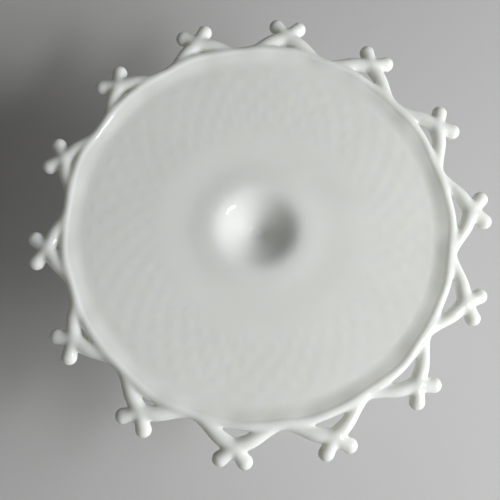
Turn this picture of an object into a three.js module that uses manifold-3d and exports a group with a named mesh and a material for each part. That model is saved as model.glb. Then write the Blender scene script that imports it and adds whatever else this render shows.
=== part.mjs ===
// A footed cake stand in opaque white pressed glass: a shallow round plate with an
// openwork lace edge, joined by a wafer of glass to a hollow, softly fluted pedestal.
// Millimetres, +Z up, origin at the centre of the foot's base.
import * as THREE from "three";
import { mergeVertices } from "three/addons/utils/BufferGeometryUtils.js";
import Module from "manifold-3d";

const wasm = await Module();
wasm.setup();

// Driving dimensions.
const HEIGHT = 120; // table to the crest of the plate's lip
const LACE_COUNT = 14; // crosses round the edge
const KNOB_CENTRE_RADIUS = 135; // axis to the centre of a knob
const KNOB_RADIUS = 4.6;
const KNOB_SPREAD = 7; // half the distance between the two knobs of a cross
const ARM_RADIUS = 4;
const BEAD_RADIUS = 3; // the round rim of the plate
const BEAD_CENTRE_RADIUS = 115.3;
const LIP_RISE = 2.4; // crest above the flat of the plate
const LIP_START_RADIUS = 104; // where the flat turns up into the lip
const PLATE_THICKNESS = 5.9;
const WELL_RADIUS = 30; // the sunken centre over the stem
const WELL_DEPTH = 12.3;
const HUB_RADIUS = 28.5; // the boss under the plate
const WAFER_RADIUS = 31;
const WAFER_THICKNESS = 3.7;
const PEDESTAL_TOP_RADIUS = 26.5;
const WAIST_RADIUS = 17.5;
const WAIST_HEIGHT = 64;
const FOOT_RADIUS = 64;
const FOOT_WALL = 6;
const FLUTE_DEPTH = 1.2; // how far a flute dips below the ribs beside it
const JOINT_GAP = 0.3; // between two faces that are fused in the glass

// Heights that follow from them.
const FLAT_TOP = HEIGHT - LIP_RISE;
const FLAT_UNDERSIDE = FLAT_TOP - PLATE_THICKNESS;
const BEAD_HEIGHT = HEIGHT - BEAD_RADIUS;
const HUB_BASE = FLAT_UNDERSIDE - 11.4;
const WAFER_TOP = HUB_BASE - JOINT_GAP;
const WAFER_BASE = WAFER_TOP - WAFER_THICKNESS;
const PEDESTAL_TOP = WAFER_BASE - JOINT_GAP;

// Facets round a full turn: a whole number for each cross and each flute.
const PLATE_FACETS = LACE_COUNT * 4;
const FLUTE_FACETS = LACE_COUNT * 4;
const CURVE_STEPS = 5; // points along each curve of a turned outline

const milkGlass = (tint) =>
  new THREE.MeshStandardMaterial({ color: tint, roughness: 0.08, metalness: 0 });

const node = (name, geometry, tint) => {
  const mesh = new THREE.Mesh(geometry, milkGlass(tint));
  mesh.name = name;
  return mesh;
};

// Turns a closed outline of (radius, height) points round the Z axis.
function turned(outline, facets) {
  return new THREE.LatheGeometry(outline, facets).rotateX(Math.PI / 2);
}

function solidOf(geometry) {
  const bare = new THREE.BufferGeometry();
  bare.setAttribute("position", geometry.getAttribute("position"));
  bare.setIndex(geometry.index);
  const merged = mergeVertices(bare, 1e-3);
  return new wasm.Manifold(
    new wasm.Mesh({
      numProp: 3,
      vertProperties: merged.attributes.position.array,
      triVerts: new Uint32Array(merged.index.array),
    }),
  );
}

function geometryOf(solid) {
  const mesh = solid.getMesh();
  const geometry = new THREE.BufferGeometry();
  geometry.setAttribute("position", new THREE.BufferAttribute(mesh.vertProperties, 3));
  geometry.setIndex(new THREE.BufferAttribute(mesh.triVerts, 1));
  geometry.computeVertexNormals();
  return geometry;
}

// The plate: a sunken well at the centre, a flat for the cake, a lip that ends in a
// round bead, and a boss below that the wafer is fused to.
function plateOutline() {
  const outline = new THREE.Path();
  outline.moveTo(0, HUB_BASE);
  outline.lineTo(HUB_RADIUS, HUB_BASE);
  outline.bezierCurveTo(
    HUB_RADIUS, FLAT_UNDERSIDE - 4,
    HUB_RADIUS + 5, FLAT_UNDERSIDE,
    HUB_RADIUS + 15, FLAT_UNDERSIDE,
  );
  outline.lineTo(LIP_START_RADIUS, FLAT_UNDERSIDE);
  outline.quadraticCurveTo(
    LIP_START_RADIUS + 6, FLAT_UNDERSIDE,
    BEAD_CENTRE_RADIUS, BEAD_HEIGHT - BEAD_RADIUS,
  );
  const beadStart = -Math.PI * 0.4;
  const beadEnd = Math.PI * 0.64;
  outline.absarc(BEAD_CENTRE_RADIUS, BEAD_HEIGHT, BEAD_RADIUS, beadStart, beadEnd);
  outline.bezierCurveTo(
    BEAD_CENTRE_RADIUS - 4, HEIGHT - 1.55,
    LIP_START_RADIUS + 5, FLAT_TOP,
    LIP_START_RADIUS, FLAT_TOP,
  );
  const points = outline.getPoints(CURVE_STEPS);
  const wellSteps = 8;
  for (let i = 0; i <= wellSteps; i += 1) {
    const share = 1 - i / wellSteps;
    const depth = (WELL_DEPTH * (1 + Math.cos(Math.PI * share))) / 2;
    points.push(new THREE.Vector2(WELL_RADIUS * share, FLAT_TOP - depth));
  }
  return points;
}

// Everything nearer the axis than a lace cross may come.
function plateKeepOut() {
  const bead = new THREE.TorusGeometry(
    BEAD_CENTRE_RADIUS, BEAD_RADIUS + JOINT_GAP, 12, PLATE_FACETS,
  ).translate(0, 0, BEAD_HEIGHT);
  const core = new THREE.CylinderGeometry(
    BEAD_CENTRE_RADIUS, BEAD_CENTRE_RADIUS, HEIGHT, PLATE_FACETS,
  ).rotateX(Math.PI / 2).translate(0, 0, BEAD_HEIGHT);
  return solidOf(bead).add(solidOf(core));
}

// A point of the lace edge: across is the distance round from the middle of the cross,
// out the distance from the axis. The edge droops more and more towards its knobs.
function lacePoint(across, out) {
  const rootHeight = HEIGHT - 4.6;
  const droop = 0.006;
  const angle = across / out;
  return new THREE.Vector3(
    out * Math.cos(angle),
    out * Math.sin(angle),
    rootHeight - droop * (out - BEAD_CENTRE_RADIUS) ** 2,
  );
}

// One bar of a cross. It leaves the rim on one side, crosses the middle and ends in
// a knob on the other side.
function laceBar(side) {
  const route = [
    lacePoint(-side * 23.5, BEAD_CENTRE_RADIUS - 0.8),
    lacePoint(-side * 17.5, BEAD_CENTRE_RADIUS + 3),
    lacePoint(-side * 9, BEAD_CENTRE_RADIUS + 8.4),
    lacePoint(0, BEAD_CENTRE_RADIUS + 12.6),
    lacePoint(side * KNOB_SPREAD, KNOB_CENTRE_RADIUS),
  ];
  const section = new THREE.Shape().absarc(0, 0, ARM_RADIUS, 0, Math.PI * 2);
  const bar = new THREE.ExtrudeGeometry(section, {
    steps: 7,
    curveSegments: 4,
    bevelEnabled: false,
    extrudePath: new THREE.CatmullRomCurve3(route),
  });
  const knob = new THREE.SphereGeometry(KNOB_RADIUS, 10, 6);
  knob.translate(...route[route.length - 1].toArray());
  return solidOf(bar).add(solidOf(knob));
}

function laceCross(keepOut) {
  return geometryOf(laceBar(1).add(laceBar(-1)).subtract(keepOut).simplify(0.05));
}

// The button of glass between the plate and the pedestal, with a rounded edge.
function waferOutline() {
  const edge = WAFER_THICKNESS / 2;
  const outline = new THREE.Path();
  outline.moveTo(0, WAFER_BASE);
  outline.lineTo(WAFER_RADIUS - edge, WAFER_BASE);
  outline.absarc(WAFER_RADIUS - edge, WAFER_BASE + edge, edge, -Math.PI / 2, Math.PI / 2);
  outline.lineTo(0, WAFER_TOP);
  return outline.getPoints(3);
}

// The hollow of the bell, from its top on the axis down to the inside of the foot ring.
function bellInside() {
  const top = 72;
  const ringInner = FOOT_RADIUS - 7.5;
  const inner = WAIST_RADIUS - FOOT_WALL;
  const outline = new THREE.Path();
  outline.moveTo(0, top);
  outline.bezierCurveTo(inner * 0.7, top, inner, top - 8, inner, WAIST_HEIGHT - 10);
  outline.bezierCurveTo(inner + 5, WAIST_HEIGHT * 0.45, ringInner * 0.5, 16, ringInner - 4, 4);
  outline.lineTo(ringInner, 0);
  return outline.getPoints(CURVE_STEPS);
}

// The outside of the pedestal, from the foot ring up over the waist to the wafer.
function pedestalOutside() {
  const top = PEDESTAL_TOP_RADIUS;
  const outline = new THREE.Path();
  outline.moveTo(FOOT_RADIUS - 1.5, 0);
  outline.quadraticCurveTo(FOOT_RADIUS, 0, FOOT_RADIUS, 2);
  outline.quadraticCurveTo(FOOT_RADIUS, 6, FOOT_RADIUS - 5, 7.5);
  outline.bezierCurveTo(34, 17, WAIST_RADIUS + 1, WAIST_HEIGHT * 0.55, WAIST_RADIUS, WAIST_HEIGHT);
  outline.bezierCurveTo(WAIST_RADIUS, WAIST_HEIGHT + 14, top - 1, PEDESTAL_TOP - 8, top, PEDESTAL_TOP);
  outline.lineTo(0, PEDESTAL_TOP);
  return outline.getPoints(CURVE_STEPS);
}

// A hollow bell standing on a flat ring, with flutes pressed into its outside. The
// flutes are deepest half way up the bell and fade out at the waist and the foot ring.
function pedestal() {
  const inside = bellInside();
  const outline = [...inside, ...pedestalOutside()];
  const geometry = turned(outline, FLUTE_FACETS);
  const position = geometry.getAttribute("position");
  const fluteBase = 8;
  const fluteTop = WAIST_HEIGHT - 6;
  for (let i = 0; i < position.count; i += 1) {
    const [x, y, z] = [position.getX(i), position.getY(i), position.getZ(i)];
    const outside = i % outline.length >= inside.length;
    if (outside && z > fluteBase && z < fluteTop) {
      const fade = Math.sin((Math.PI * (z - fluteBase)) / (fluteTop - fluteBase));
      const wave = (1 - Math.cos(LACE_COUNT * Math.atan2(y, x))) / 2;
      const share = 1 - (FLUTE_DEPTH * fade * wave) / Math.hypot(x, y);
      position.setXYZ(i, x * share, y * share, z);
    }
  }
  geometry.computeVertexNormals();
  return geometry;
}

const stand = new THREE.Group();
stand.add(node("plate", turned(plateOutline(), PLATE_FACETS), 0xf2f3ef));
const cross = laceCross(plateKeepOut());
for (let k = 0; k < LACE_COUNT; k += 1) {
  const name = `lace_cross_${String(k + 1).padStart(2, "0")}`;
  const mesh = node(name, cross, 0xf5f5f2);
  mesh.rotation.z = (k * 2 * Math.PI) / LACE_COUNT;
  stand.add(mesh);
}
stand.add(node("joining_wafer", turned(waferOutline(), PLATE_FACETS), 0xf2f3ef));
stand.add(node("pedestal", pedestal(), 0xf2f3ef));

export default stand;
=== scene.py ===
"""The looks of a footed cake stand in opaque white pressed glass.

The plate and its lace edge are one seamless piece of glass, so they are one mesh here: the
rim and the lace come from a field of distances to a turned outline and to fourteen pairs of
crossed bars, and rings of faces fill the plate inside the rim. The wafer and the pedestal
are turned from their outlines. Lengths are in metres.
"""

import math

import bmesh
import bpy
import numpy as np
from mathutils import Matrix, Vector


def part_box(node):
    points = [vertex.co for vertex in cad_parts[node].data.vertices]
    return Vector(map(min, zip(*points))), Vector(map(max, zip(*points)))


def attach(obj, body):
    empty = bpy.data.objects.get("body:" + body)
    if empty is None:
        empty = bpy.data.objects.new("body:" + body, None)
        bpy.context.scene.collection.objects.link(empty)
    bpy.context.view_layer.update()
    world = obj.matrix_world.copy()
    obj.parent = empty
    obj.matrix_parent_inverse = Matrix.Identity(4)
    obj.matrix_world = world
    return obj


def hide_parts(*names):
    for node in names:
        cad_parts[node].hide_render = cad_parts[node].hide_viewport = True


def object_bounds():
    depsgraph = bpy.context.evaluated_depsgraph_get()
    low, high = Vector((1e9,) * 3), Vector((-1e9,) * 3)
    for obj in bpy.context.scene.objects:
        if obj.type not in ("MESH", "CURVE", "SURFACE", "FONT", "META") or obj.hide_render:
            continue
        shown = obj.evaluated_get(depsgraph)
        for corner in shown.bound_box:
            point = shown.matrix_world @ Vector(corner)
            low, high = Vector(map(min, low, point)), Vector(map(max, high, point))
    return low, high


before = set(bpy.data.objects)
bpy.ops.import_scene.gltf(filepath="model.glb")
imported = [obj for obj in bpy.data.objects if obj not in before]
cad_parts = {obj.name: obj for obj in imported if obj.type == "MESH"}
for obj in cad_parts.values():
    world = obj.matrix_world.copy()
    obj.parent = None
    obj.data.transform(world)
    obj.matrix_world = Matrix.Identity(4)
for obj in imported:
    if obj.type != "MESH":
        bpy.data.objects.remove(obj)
cad_low, cad_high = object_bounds()

MM = 0.001
TURN = 2 * math.pi

# Sizes that the frame gives.
plate_low, plate_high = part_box("plate")
_, wafer_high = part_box("joining_wafer")
_, pedestal_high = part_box("pedestal")
CREST = plate_high.z  # height of the lip's crest
CROSSES = 14
SECTOR = TURN / CROSSES

# Plate.
FLAT = CREST - 2.4 * MM  # height of the flat that a cake stands on
UNDERSIDE = FLAT - 5.9 * MM
FLAT_EDGE = 104.5 * MM  # where the flat turns up into the lip
CREST_ARC = 3.1 * MM  # radius of the crest in section
CREST_RADIUS = 115.2 * MM
CREST_START, CREST_END = 132, -60  # where the crest's arc begins and ends, in degrees
RIM_SHIFT = (-1.8 * MM, 1.0 * MM)  # the lip was pressed a little off the lace's axis
WAVE_OUT = 0.5 * MM  # waviness of the crest, sideways and up
WAVE_UP = 0.3 * MM
WELL_SLOPE = 0.62  # the sunken centre is a funnel with this slope
WELL_BOTTOM = 6 * MM  # radius of its rounded bottom
WELL_SHOULDER, WELL_RADIUS = 17 * MM, 30.3 * MM  # where its wall turns into the flat
WELL_SHIFT = (-2.7 * MM, 0.7 * MM)  # the pressed well sits a little off the axis
TROUGH_DEPTH = 0.4 * MM  # a faint hollow in the flat round the well
TROUGH_START, TROUGH_MIDDLE, TROUGH_END = 30 * MM, 42 * MM, 61 * MM
HUB_RADIUS = 28.5 * MM  # the boss under the plate
HUB_FILLET = 14 * MM

# The pressed pattern on the plate's underside: staggered rings of low bumps.
BUMPS_ROUND = 3 * CROSSES
BUMP_RING_PITCH = 7.4 * MM
BUMP_START = 64 * MM
BUMP_END = 109 * MM
BUMP_HEIGHT = 1.1 * MM
RIPPLE = 0.13 * MM  # how much of the pattern shows on the top

# Lace edge: the centre line of one bar of a cross, as (distance round from the middle of
# the cross, distance out from the axis, depth below the crest, bar radius) in mm.
BAR_ROUTE = (
    (-25, 113.4, 5.2, 3.1),
    (-17.5, 118.3, 4.6, 3.2),
    (-9, 123.5, 4.9, 4.25),
    (0, 127.7, 5.6, 4.4),
    (4.4, 132.5, 6.1, 4.25),
    (7.0, 135.0, 6.8, 4.7),
)
BAR_STEPS = 4  # straight pieces between two points of the route
RIM_BLEND = 1.1 * MM  # softness of the joins between the bars and the rim
CROSS_BLEND = 0.7 * MM  # softness of the join where two bars cross

# Grid for the rim and the lace.
CELL = 0.95 * MM
SPOKES = 56 * CROSSES
SETTLE_ROUNDS = 5

# Pedestal: a hollow bell with flutes pressed into its outside.
WAIST_RADIUS, WAIST_HEIGHT = 17.5 * MM, 64 * MM
CROWN_RADIUS = 26.5 * MM
FOOT_WALL = 6 * MM
FOOT_RING_WIDTH = 7.5 * MM
HOLLOW_TOP = 72 * MM
FLUTE_DEPTH = 1.3 * MM

# Camera: lens in mm, the picture's right and up, and its place above the table's origin.
CAMERA_LENS = 57.37
CAMERA_RIGHT = (0.99499, -0.09809, 0.01941)
CAMERA_UP = (0.09107, 0.96912, 0.22915)
CAMERA_PLACE = (-27.9 * MM, -119.2 * MM, CREST - 4.9 * MM + 462.3 * MM)

# Light from one window, with the brighter pane that the glass mirrors.
LIGHT_AZIMUTH = -25  # degrees round from +X
LIGHT_DISTANCE = 1.3
DAYLIGHT = (0.95, 0.965, 0.99)


def smoothstep(x, low, high):
    t = np.clip((np.asarray(x, float) - low) / (high - low), 0, 1)
    return t * t * (3 - 2 * t)


def bezier(points, steps):
    """Points of a Bezier curve of any degree, both ends included."""
    t = np.linspace(0, 1, steps + 1)[:, None]
    level = [np.broadcast_to(np.asarray(p, float), (steps + 1, len(p))) for p in points]
    while len(level) > 1:
        level = [a + (b - a) * t for a, b in zip(level, level[1:])]
    return level[0]


def arc(centre, radius, start, end, steps):
    """Points of an arc in the (radius, height) plane, angles in degrees."""
    a = np.radians(np.linspace(start, end, steps + 1))
    return np.c_[centre[0] + radius * np.cos(a), centre[1] + radius * np.sin(a)]


def catmull_rom(points, steps):
    """A smooth curve through the points."""
    p = np.asarray(points, float)
    p = np.vstack([2 * p[0] - p[1], p, 2 * p[-1] - p[-2]])
    t = np.linspace(0, 1, steps, endpoint=False)[:, None]
    out = []
    for a, b, c, d in zip(p, p[1:], p[2:], p[3:]):
        out.append(
            0.5 * (2 * b + (c - a) * t + (2 * a - 5 * b + 4 * c - d) * t**2
                   + (3 * b - a - 3 * c + d) * t**3)
        )
    return np.vstack([*out, p[-2:-1]])


# ---------------------------------------------------------------- plate and lace edge


def bump_pattern(x, y):
    """Staggered bumps in rings round the axis, from 0 between them to 1 on top."""
    radius, angle = np.hypot(x, y), np.arctan2(y, x)
    row = (radius - BUMP_START) / (2 * BUMP_RING_PITCH)
    wave = np.cos(math.pi * row) * np.cos(BUMPS_ROUND / 2 * angle)
    other = np.sin(math.pi * row) * np.sin(BUMPS_ROUND / 2 * angle)
    return (wave + other) ** 2 * (wave - other) ** 2


def pattern_mask(radius):
    return smoothstep(radius, BUMP_START - 4 * MM, BUMP_START + 4 * MM) * (
        1 - smoothstep(radius, BUMP_END - 4 * MM, BUMP_END + 3 * MM)
    )


def well_depth(radius):
    """Depth of the sunken centre: the sum of its slope from the outside inwards."""
    r = np.linspace(0, WELL_RADIUS, 400)
    slope = WELL_SLOPE * smoothstep(r, 0, WELL_BOTTOM) * (
        1 - smoothstep(r, WELL_SHOULDER, WELL_RADIUS)
    )
    fallen = np.cumsum(slope) * r[1]
    return np.interp(radius, r, fallen[-1] - fallen)


def top_height(x, y):
    """Height of the plate's upper surface inside the rim."""
    radius = np.hypot(x, y)
    well = np.hypot(x - WELL_SHIFT[0], y - WELL_SHIFT[1])
    depth = well_depth(well)
    trough = TROUGH_DEPTH * smoothstep(well, TROUGH_START, TROUGH_MIDDLE) * (
        1 - smoothstep(well, TROUGH_MIDDLE, TROUGH_END)
    )
    ripple = RIPPLE * bump_pattern(x, y) * pattern_mask(radius)
    return FLAT - depth - trough + ripple


def rim_outline():
    """Closed outline of the plate's edge in section, from the flat over the lip."""
    centre = (CREST_RADIUS, CREST - CREST_ARC - 0.05 * MM)
    crest = arc(centre, CREST_ARC, CREST_START, CREST_END, 26)
    inner_wall = bezier(
        [(FLAT_EDGE, FLAT), (108 * MM, FLAT), crest[0] - (2.6 * MM, 0.6 * MM), crest[0]], 16
    )
    below = bezier(
        [crest[-1], crest[-1] - (3 * MM, 1.1 * MM), (109 * MM, UNDERSIDE), (FLAT_EDGE, UNDERSIDE)],
        12,
    )
    back = 0.8 * FLAT_EDGE
    return np.vstack([[(back, FLAT)], inner_wall, crest[1:], below[1:], [(back, UNDERSIDE)]])


def outline_distance(radius, height, outline):
    """Signed distance to a closed outline, negative inside it."""
    best = np.full(radius.shape, np.inf)
    inside = np.zeros(radius.shape, bool)
    for (ar, az), (br, bz) in zip(outline, np.roll(outline, -1, axis=0)):
        dr, dz = br - ar, bz - az
        t = np.clip(((radius - ar) * dr + (height - az) * dz) / (dr * dr + dz * dz), 0, 1)
        best = np.minimum(best, np.hypot(radius - ar - t * dr, height - az - t * dz))
        if dz:
            level = (az > height) != (bz > height)
            inside ^= level & (radius < ar + (height - az) / dz * dr)
    return np.where(inside, -best, best)


def bar_path():
    """Centre line of a bar: x, y, z and bar radius."""
    route = catmull_rom(np.array(BAR_ROUTE) * MM, BAR_STEPS)
    across, out, depth, thick = route.T
    angle = across / out
    return np.c_[out * np.cos(angle), out * np.sin(angle), CREST - depth, thick]


def bar_distance(x, y, z, path):
    best = np.full(x.shape, np.inf)
    for a, b in zip(path, path[1:]):
        d = b - a
        px, py, pz = x - a[0], y - a[1], z - a[2]
        t = np.clip((px * d[0] + py * d[1] + pz * d[2]) / (d[:3] @ d[:3]), 0, 1)
        gap = np.sqrt((px - t * d[0]) ** 2 + (py - t * d[1]) ** 2 + (pz - t * d[2]) ** 2)
        best = np.minimum(best, gap - a[3] - t * d[3])
    return best


OUTLINE = rim_outline()
BAR = bar_path()


def rim_distance(x, y, z):
    """Distance to the rim, whose crest waves in and out and up and down."""
    angle = np.arctan2(y, x)
    radius = np.hypot(x - RIM_SHIFT[0], y - RIM_SHIFT[1])
    fade = smoothstep(radius, FLAT_EDGE, CREST_RADIUS)
    out = np.cos(CROSSES * angle) + 0.5 * np.cos(9 * angle + 1) + 0.4 * np.cos(23 * angle + 2)
    up = np.sin(CROSSES * angle) + 0.5 * np.cos(5 * angle) + 0.5 * np.cos(33 * angle + 1)
    return outline_distance(radius - WAVE_OUT * fade * out, z - WAVE_UP * fade * up, OUTLINE)


def soft_join(distances, softness):
    """Distance to several bodies whose joins are filled with a fillet of this softness."""
    least = np.min(distances, axis=0)
    total = sum(np.exp((least - d) / softness) for d in distances)
    return least - softness * np.log(total)


def glass_field(points):
    """Softly joined distance to the rim and to the bars near it, negative in the glass."""
    x, y, z = points.T
    radius = np.hypot(x, y)
    angle = (np.arctan2(y, x) + SECTOR / 2) % SECTOR - SECTOR / 2
    inside_rim = 2 * np.maximum(CREST_RADIUS - radius, 0)  # keeps the bars out of the lip
    bodies = [rim_distance(x, y, z)]
    for neighbour in (-1, 0, 1):
        swung = angle + neighbour * SECTOR
        bx, by = radius * np.cos(swung), radius * np.sin(swung)
        bars = [bar_distance(bx, side * by, z, BAR) for side in (1, -1)]
        bodies.append(soft_join(bars, CROSS_BLEND) + inside_rim)
    return soft_join(bodies, RIM_BLEND)


def surface_net(value):
    """The cells that the surface value = 0 crosses, as an array of vertex numbers, the
    vertices in grid steps and the quads between them. The first axis wraps round."""
    value = np.concatenate([value, value[:1]])
    cells = tuple(n - 1 for n in value.shape)
    total, count = np.zeros((*cells, 3)), np.zeros(cells)
    for axis in range(3):
        for u in (0, 1):
            for v in (0, 1):
                start = np.insert([u, v], axis, 0)
                low = value[tuple(slice(s, s + c) for s, c in zip(start, cells))]
                start[axis] = 1
                high = value[tuple(slice(s, s + c) for s, c in zip(start, cells))]
                crossed = (low < 0) != (high < 0)
                place = np.insert(np.array([u, v], float), axis, 0)
                total[crossed] += place
                share = low[crossed] / (low[crossed] - high[crossed])
                total[crossed, axis] += share
                count += crossed
    number = np.where(count > 0, np.cumsum(count > 0).reshape(cells) - 1, -1)
    middle = np.argwhere(count > 0) + total[count > 0] / count[count > 0][:, None]
    quads = []
    for axis in range(3):
        low = value[:-1] if axis == 0 else value[:-1].take(range(value.shape[axis] - 1), axis)
        high = value[1:] if axis == 0 else value[:-1].take(range(1, value.shape[axis]), axis)
        at = np.argwhere((low < 0) != (high < 0))
        b, c = [n for n in range(3) if n != axis]
        corners = []
        for u, v in ((0, 0), (1, 0), (1, 1), (0, 1)):
            cell = at.copy()
            cell[:, b] -= u
            cell[:, c] -= v
            cell[:, 0] %= cells[0]
            corners.append(cell)
        corners = np.stack(corners, axis=1)
        inner = (corners >= 0).all(axis=(1, 2)) & (corners < cells).all(axis=(1, 2))
        quads.append(number[tuple(corners[inner].transpose(2, 0, 1))])
    return number, middle, np.vstack(quads)


def settle(points, quads, pinned, rounds):
    """Evens out the vertices and puts them back on the surface of the glass."""
    edges = np.vstack([quads[:, [n, (n + 1) % 4]] for n in range(4)])
    degree = np.bincount(edges.ravel(), minlength=len(points))[:, None]
    for n in range(rounds):
        if n:
            total = np.zeros_like(points)
            np.add.at(total, edges[:, 0], points[edges[:, 1]])
            np.add.at(total, edges[:, 1], points[edges[:, 0]])
            points = np.where(pinned[:, None], points, (points + total / degree) / 2)
        probe = 0.02 * MM
        value = glass_field(points)
        slope = np.stack(
            [(glass_field(points + probe * e) - value) / probe for e in np.eye(3)], axis=1
        )
        step = np.clip(value / (slope**2).sum(axis=1), -CELL / 2, CELL / 2)
        move = slope * step[:, None]
        points = points - np.where(pinned[:, None], 0, move)
    return points


def rim_and_lace():
    """Vertices and quads of the rim and the lace, and the numbers of the vertices round
    their inner edge, on top and below."""
    radii = np.arange(FLAT_EDGE - 2 * CELL, cad_high.x + 4 * MM, CELL)
    heights = np.arange(UNDERSIDE - 3.3 * MM, CREST + 2 * MM, CELL)
    angles = np.arange(SPOKES) * TURN / SPOKES
    a, r, z = np.meshgrid(angles, radii, heights, indexing="ij")
    value = glass_field(np.c_[(r * np.cos(a)).ravel(), (r * np.sin(a)).ravel(), z.ravel()])
    number, middle, quads = surface_net(value.reshape(a.shape))
    angle = middle[:, 0] * TURN / SPOKES
    radius = radii[0] + middle[:, 1] * CELL
    height = heights[0] + middle[:, 2] * CELL
    points = np.c_[radius * np.cos(angle), radius * np.sin(angle), height]
    inner = number[:, 0, :]
    edge_below, edge_top = (
        np.array([row[row >= 0][n] for row in inner]) for n in (0, -1)
    )
    pinned = np.zeros(len(points), bool)
    pinned[edge_below] = pinned[edge_top] = True
    points = settle(points, quads, pinned, SETTLE_ROUNDS)
    points[edge_top, 2], points[edge_below, 2] = FLAT, UNDERSIDE
    return points, quads, edge_top, edge_below


def spokes_at(radius):
    """Half of the rim's spokes, halved again at three radii on the way to the axis."""
    halvings = 1 + sum(radius <= limit * MM for limit in (50, 22, 8))
    return SPOKES // 2**halvings


def rings_to_axis(faces, points, edge, radii, height):
    """Fills the plate from a ring of vertices in to the axis with rings of faces.
    height(x, y) gives each ring's heights."""
    outer = list(edge)
    start = math.atan2(points[edge[0]][1], points[edge[0]][0])
    for radius in radii:
        count = spokes_at(radius)
        angle = start + np.arange(count) * TURN / count
        x, y = radius * np.cos(angle), radius * np.sin(angle)
        first = len(points)
        points.extend(np.c_[x, y, height(x, y)])
        inner = list(range(first, first + count))
        merge = len(outer) // count
        for n in range(count):
            span = [outer[(n * merge + m) % len(outer)] for m in range(merge + 1)]
            faces.append([inner[n], *span, inner[(n + 1) % count]])
        outer = inner
    points.append(np.array([0, 0, float(height(np.zeros(1), np.zeros(1))[0])]))
    for n in range(len(outer)):
        faces.append([len(points) - 1, outer[n], outer[(n + 1) % len(outer)]])


def underside_height(x, y):
    radius = np.hypot(x, y)
    rise = smoothstep(radius, HUB_RADIUS, HUB_RADIUS + HUB_FILLET)
    hub = (UNDERSIDE - wafer_high.z) * (1 - rise)
    return UNDERSIDE - hub - BUMP_HEIGHT * bump_pattern(x, y) * pattern_mask(radius)


# ---------------------------------------------------------------- building pieces


def piece(name, points, faces, material):
    """A smooth-shaded mesh object that rides on the stand's one body."""
    mesh = bpy.data.meshes.new(name)
    mesh.from_pydata([tuple(p) for p in points], [], [tuple(map(int, f)) for f in faces])
    work = bmesh.new()
    work.from_mesh(mesh)
    bmesh.ops.remove_doubles(work, verts=work.verts, dist=1e-7)
    bmesh.ops.recalc_face_normals(work, faces=work.faces)
    work.to_mesh(mesh)
    work.free()
    mesh.shade_smooth()
    mesh.materials.append(material)
    made = bpy.data.objects.new(name, mesh)
    bpy.context.scene.collection.objects.link(made)
    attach(made, "root")
    return made


def make_plate(material):
    rim_points, quads, edge_top, edge_below = rim_and_lace()
    points, faces = list(rim_points), quads.tolist()
    # The rings on top lie closest over the well, where the surface bends most.
    top_radii = np.r_[
        np.arange(102, 60, -1.75), np.arange(60, 36, -2), np.arange(36, 0, -1.25)
    ] * MM
    rings_to_axis(faces, points, edge_top, top_radii, top_height)
    below_radii = np.r_[np.arange(102, 44, -1.6), np.arange(44, 5, -1.6)] * MM
    rings_to_axis(faces, points, edge_below, below_radii, underside_height)
    plate = piece("plate_and_lace", points, faces, material)
    crosses = [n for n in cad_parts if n.startswith("lace_cross_")]
    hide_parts("plate", *crosses)


def turned(name, outline, spokes, material, shape=None):
    """Turns an outline of (radius, height) points, from axis to axis, round the axis.
    shape(height, angle, index) may move the points of each ring outwards."""
    points, faces, before = [], [], None
    angle = np.arange(spokes) * TURN / spokes
    for index, (radius, height) in enumerate(outline):
        first = len(points)
        if radius < 1e-6:
            points.append((0, 0, height))
            ring = [first] * spokes
        else:
            extra = shape(height, angle, index) if shape else 0
            r = radius + extra * np.ones(spokes)
            points.extend(np.c_[r * np.cos(angle), r * np.sin(angle), np.full(spokes, height)])
            ring = list(range(first, first + spokes))
        if before:
            for n in range(spokes):
                m = (n + 1) % spokes
                face = dict.fromkeys([before[n], before[m], ring[m], ring[n]])
                faces.append(list(face))
        before = ring
    return piece(name, points, faces, material)


def make_wafer(material):
    """The fused button of glass: a soft bulge with a fillet to each neighbour."""
    low, high = pedestal_high.z, plate_low.z
    middle, half = (low + high) / 2, (high - low) / 2
    radius = wafer_high.x
    inset, shoulder, bulge = radius - 3.5 * MM, radius - 1.5 * MM, radius + 0.6 * MM
    overlap = 0.4 * MM  # how far it reaches into the glass above and below
    edge = bezier(
        [(inset, low - overlap), (shoulder, low), (bulge, middle - half / 2),
         (bulge, middle + half / 2), (shoulder, high), (inset, high + overlap)],
        16,
    )
    outline = np.vstack([[(0, low - overlap)], edge, [(0, high + overlap)]])
    wafer = turned("wafer_glass", outline, SPOKES // 4, material)
    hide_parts("joining_wafer")


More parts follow.
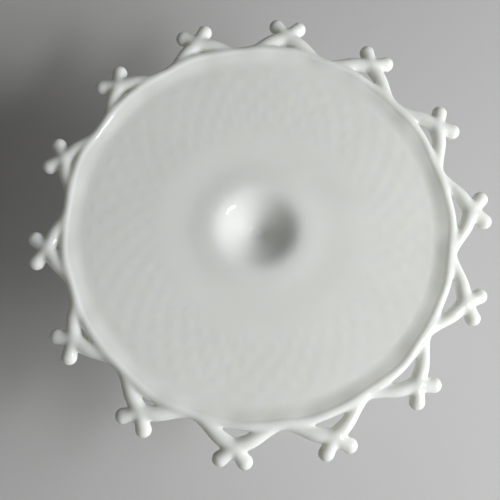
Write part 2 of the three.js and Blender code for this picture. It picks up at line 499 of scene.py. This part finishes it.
def pedestal_outline():
    """The hollow of the bell, from the axis down to the foot ring, and its outside, from
    the foot ring up to the axis."""
    foot = pedestal_high.x
    top = pedestal_high.z
    inner = WAIST_RADIUS - FOOT_WALL
    ring_inner = foot - FOOT_RING_WIDTH
    inside = np.vstack([
        bezier([(0, HOLLOW_TOP), (inner * 0.7, HOLLOW_TOP), (inner, 64 * MM),
                (inner, 54 * MM)], 10),
        bezier([(inner, 54 * MM), (inner + 5 * MM, 29 * MM), (ring_inner / 2, 16 * MM),
                (ring_inner - 4 * MM, 4 * MM)], 20)[1:],
        bezier([(ring_inner - 4 * MM, 4 * MM), (ring_inner - 1 * MM, 1.2 * MM),
                (ring_inner + 0.6 * MM, 0), (ring_inner + 2 * MM, 0)], 6)[1:],
    ])
    outside = np.vstack([
        bezier([(foot - 2 * MM, 0), (foot, 0), (foot, 3.2 * MM)], 6),
        bezier([(foot, 3.2 * MM), (foot, 6.5 * MM), (foot - 6 * MM, 7.8 * MM)], 6)[1:],
        bezier([(foot - 6 * MM, 7.8 * MM), (34 * MM, 17 * MM),
                (WAIST_RADIUS + 1 * MM, 35 * MM), (WAIST_RADIUS, WAIST_HEIGHT)], 40)[1:],
        bezier([(WAIST_RADIUS, WAIST_HEIGHT), (WAIST_RADIUS, WAIST_HEIGHT + 14 * MM),
                (CROWN_RADIUS - 1 * MM, top - 8 * MM), (CROWN_RADIUS, top)], 20)[1:],
        [(0, top)],
    ])
    return inside, outside


def make_pedestal(material):
    inside, outside = pedestal_outline()

    def flutes(height, angle, index):
        if index < len(inside):
            return 0
        fade = smoothstep(height, 8 * MM, 20 * MM) * (1 - smoothstep(height, 45 * MM, 66 * MM))
        return -FLUTE_DEPTH * fade * (1 - np.abs(np.cos(CROSSES / 2 * angle)))

    outline = np.vstack([inside, outside])
    pedestal = turned("pedestal_glass", outline, SPOKES // 2, material, flutes)
    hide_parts("pedestal")


# ---------------------------------------------------------------- material


def milk_glass():
    """Opaque white pressed glass: milky depth, a fire-polished gloss, faint swirls of density
    and the shallow waviness of a pressed surface."""
    material = bpy.data.materials.new("milk_glass")
    material.use_nodes = True
    nodes, links = material.node_tree.nodes, material.node_tree.links
    shader = nodes["Principled BSDF"]
    shader.inputs["IOR"].default_value = 1.51
    shader.inputs["Specular IOR Level"].default_value = 0.5
    shader.inputs["Subsurface Weight"].default_value = 0.8
    shader.inputs["Subsurface Radius"].default_value = (1.0, 0.95, 0.85)
    shader.inputs["Subsurface Scale"].default_value = 6 * MM
    place = nodes.new("ShaderNodeTexCoord")

    def noise(scale, detail, distortion=0.0):
        node = nodes.new("ShaderNodeTexNoise")
        node.inputs["Scale"].default_value = scale
        node.inputs["Detail"].default_value = detail
        node.inputs["Distortion"].default_value = distortion
        links.new(place.outputs["Object"], node.inputs["Vector"])
        return node.outputs["Fac"]

    def ramp(value, stops):
        node = nodes.new("ShaderNodeValToRGB")
        for element, (position, colour) in zip(node.color_ramp.elements, stops):
            element.position = position
            element.color = (*colour, 1)
        links.new(value, node.inputs["Fac"])
        return node.outputs["Color"]

    milk = ramp(noise(22, 3, 0.6), [(0.3, (0.82, 0.832, 0.79)), (0.7, (0.855, 0.865, 0.825))])
    links.new(milk, shader.inputs["Base Color"])
    gloss = ramp(noise(60, 4), [(0.35, (0.03, 0.03, 0.03)), (0.75, (0.08, 0.08, 0.08))])
    links.new(gloss, shader.inputs["Roughness"])
    bump = nodes.new("ShaderNodeBump")
    bump.inputs["Strength"].default_value = 0.2
    bump.inputs["Distance"].default_value = 0.12 * MM
    links.new(noise(110, 1.5), bump.inputs["Height"])
    links.new(bump.outputs["Normal"], shader.inputs["Normal"])
    return material


def plain(name, colour, roughness):
    material = bpy.data.materials.new(name)
    material.use_nodes = True
    shader = material.node_tree.nodes["Principled BSDF"]
    shader.inputs["Base Color"].default_value = (*colour, 1)
    shader.inputs["Roughness"].default_value = roughness
    shader.inputs["Specular IOR Level"].default_value = 0.1
    return material


# ---------------------------------------------------------------- camera, floor and light


def make_camera():
    """Looks down at the plate from 75 degrees above the horizon, turned and rolled as the
    photograph was taken."""
    camera = bpy.data.objects.new("camera", bpy.data.cameras.new("camera"))
    camera.data.lens = CAMERA_LENS
    right, up = Vector(CAMERA_RIGHT), Vector(CAMERA_UP)
    back = right.cross(up).normalized()
    turn = Matrix((right, up, back)).transposed().to_4x4()
    camera.matrix_world = Matrix.Translation(CAMERA_PLACE) @ turn
    bpy.context.scene.collection.objects.link(camera)
    bpy.context.scene.camera = camera


def make_floor():
    mesh = bpy.data.meshes.new("floor")
    size = 30
    mesh.from_pydata([(-size, -size, 0), (size, -size, 0), (size, size, 0), (-size, size, 0)],
                     [], [(0, 1, 2, 3)])
    mesh.materials.append(plain("floor_paint", (0.58, 0.575, 0.565), 1.0))
    floor = bpy.data.objects.new("floor", mesh)
    bpy.context.scene.collection.objects.link(floor)


def area_light(name, elevation, size, power):
    """A soft panel of daylight that faces the plate from this elevation above it."""
    target = Vector((0, 0, FLAT))
    a, e = math.radians(LIGHT_AZIMUTH), math.radians(elevation)
    way = Vector((math.cos(a) * math.cos(e), math.sin(a) * math.cos(e), math.sin(e)))
    light = bpy.data.lights.new(name, "AREA")
    light.shape = "RECTANGLE"
    light.size, light.size_y = size
    light.energy = power
    light.color = DAYLIGHT
    lamp = bpy.data.objects.new(name, light)
    lamp.location = target + way * LIGHT_DISTANCE
    lamp.rotation_euler = way.to_track_quat("Z", "Y").to_euler()
    bpy.context.scene.collection.objects.link(lamp)
    return lamp


def make_light():
    window = area_light("window", 28, (1.2, 0.85), 20.8)
    window.visible_glossy = False  # the glass mirrors only the brighter pane above it
    area_light("window_pane", 46, (0.4, 0.12), 3.3)
    world = bpy.data.worlds.new("room")
    world.use_nodes = True
    background = world.node_tree.nodes["Background"]
    background.inputs["Color"].default_value = (1.0, 0.99, 0.94, 1)
    background.inputs["Strength"].default_value = 0.1
    bpy.context.scene.world = world
    bpy.context.scene.view_settings.view_transform = "Standard"


glass = milk_glass()
make_plate(glass)
make_wafer(glass)
make_pedestal(glass)
make_floor()
make_light()
make_camera()
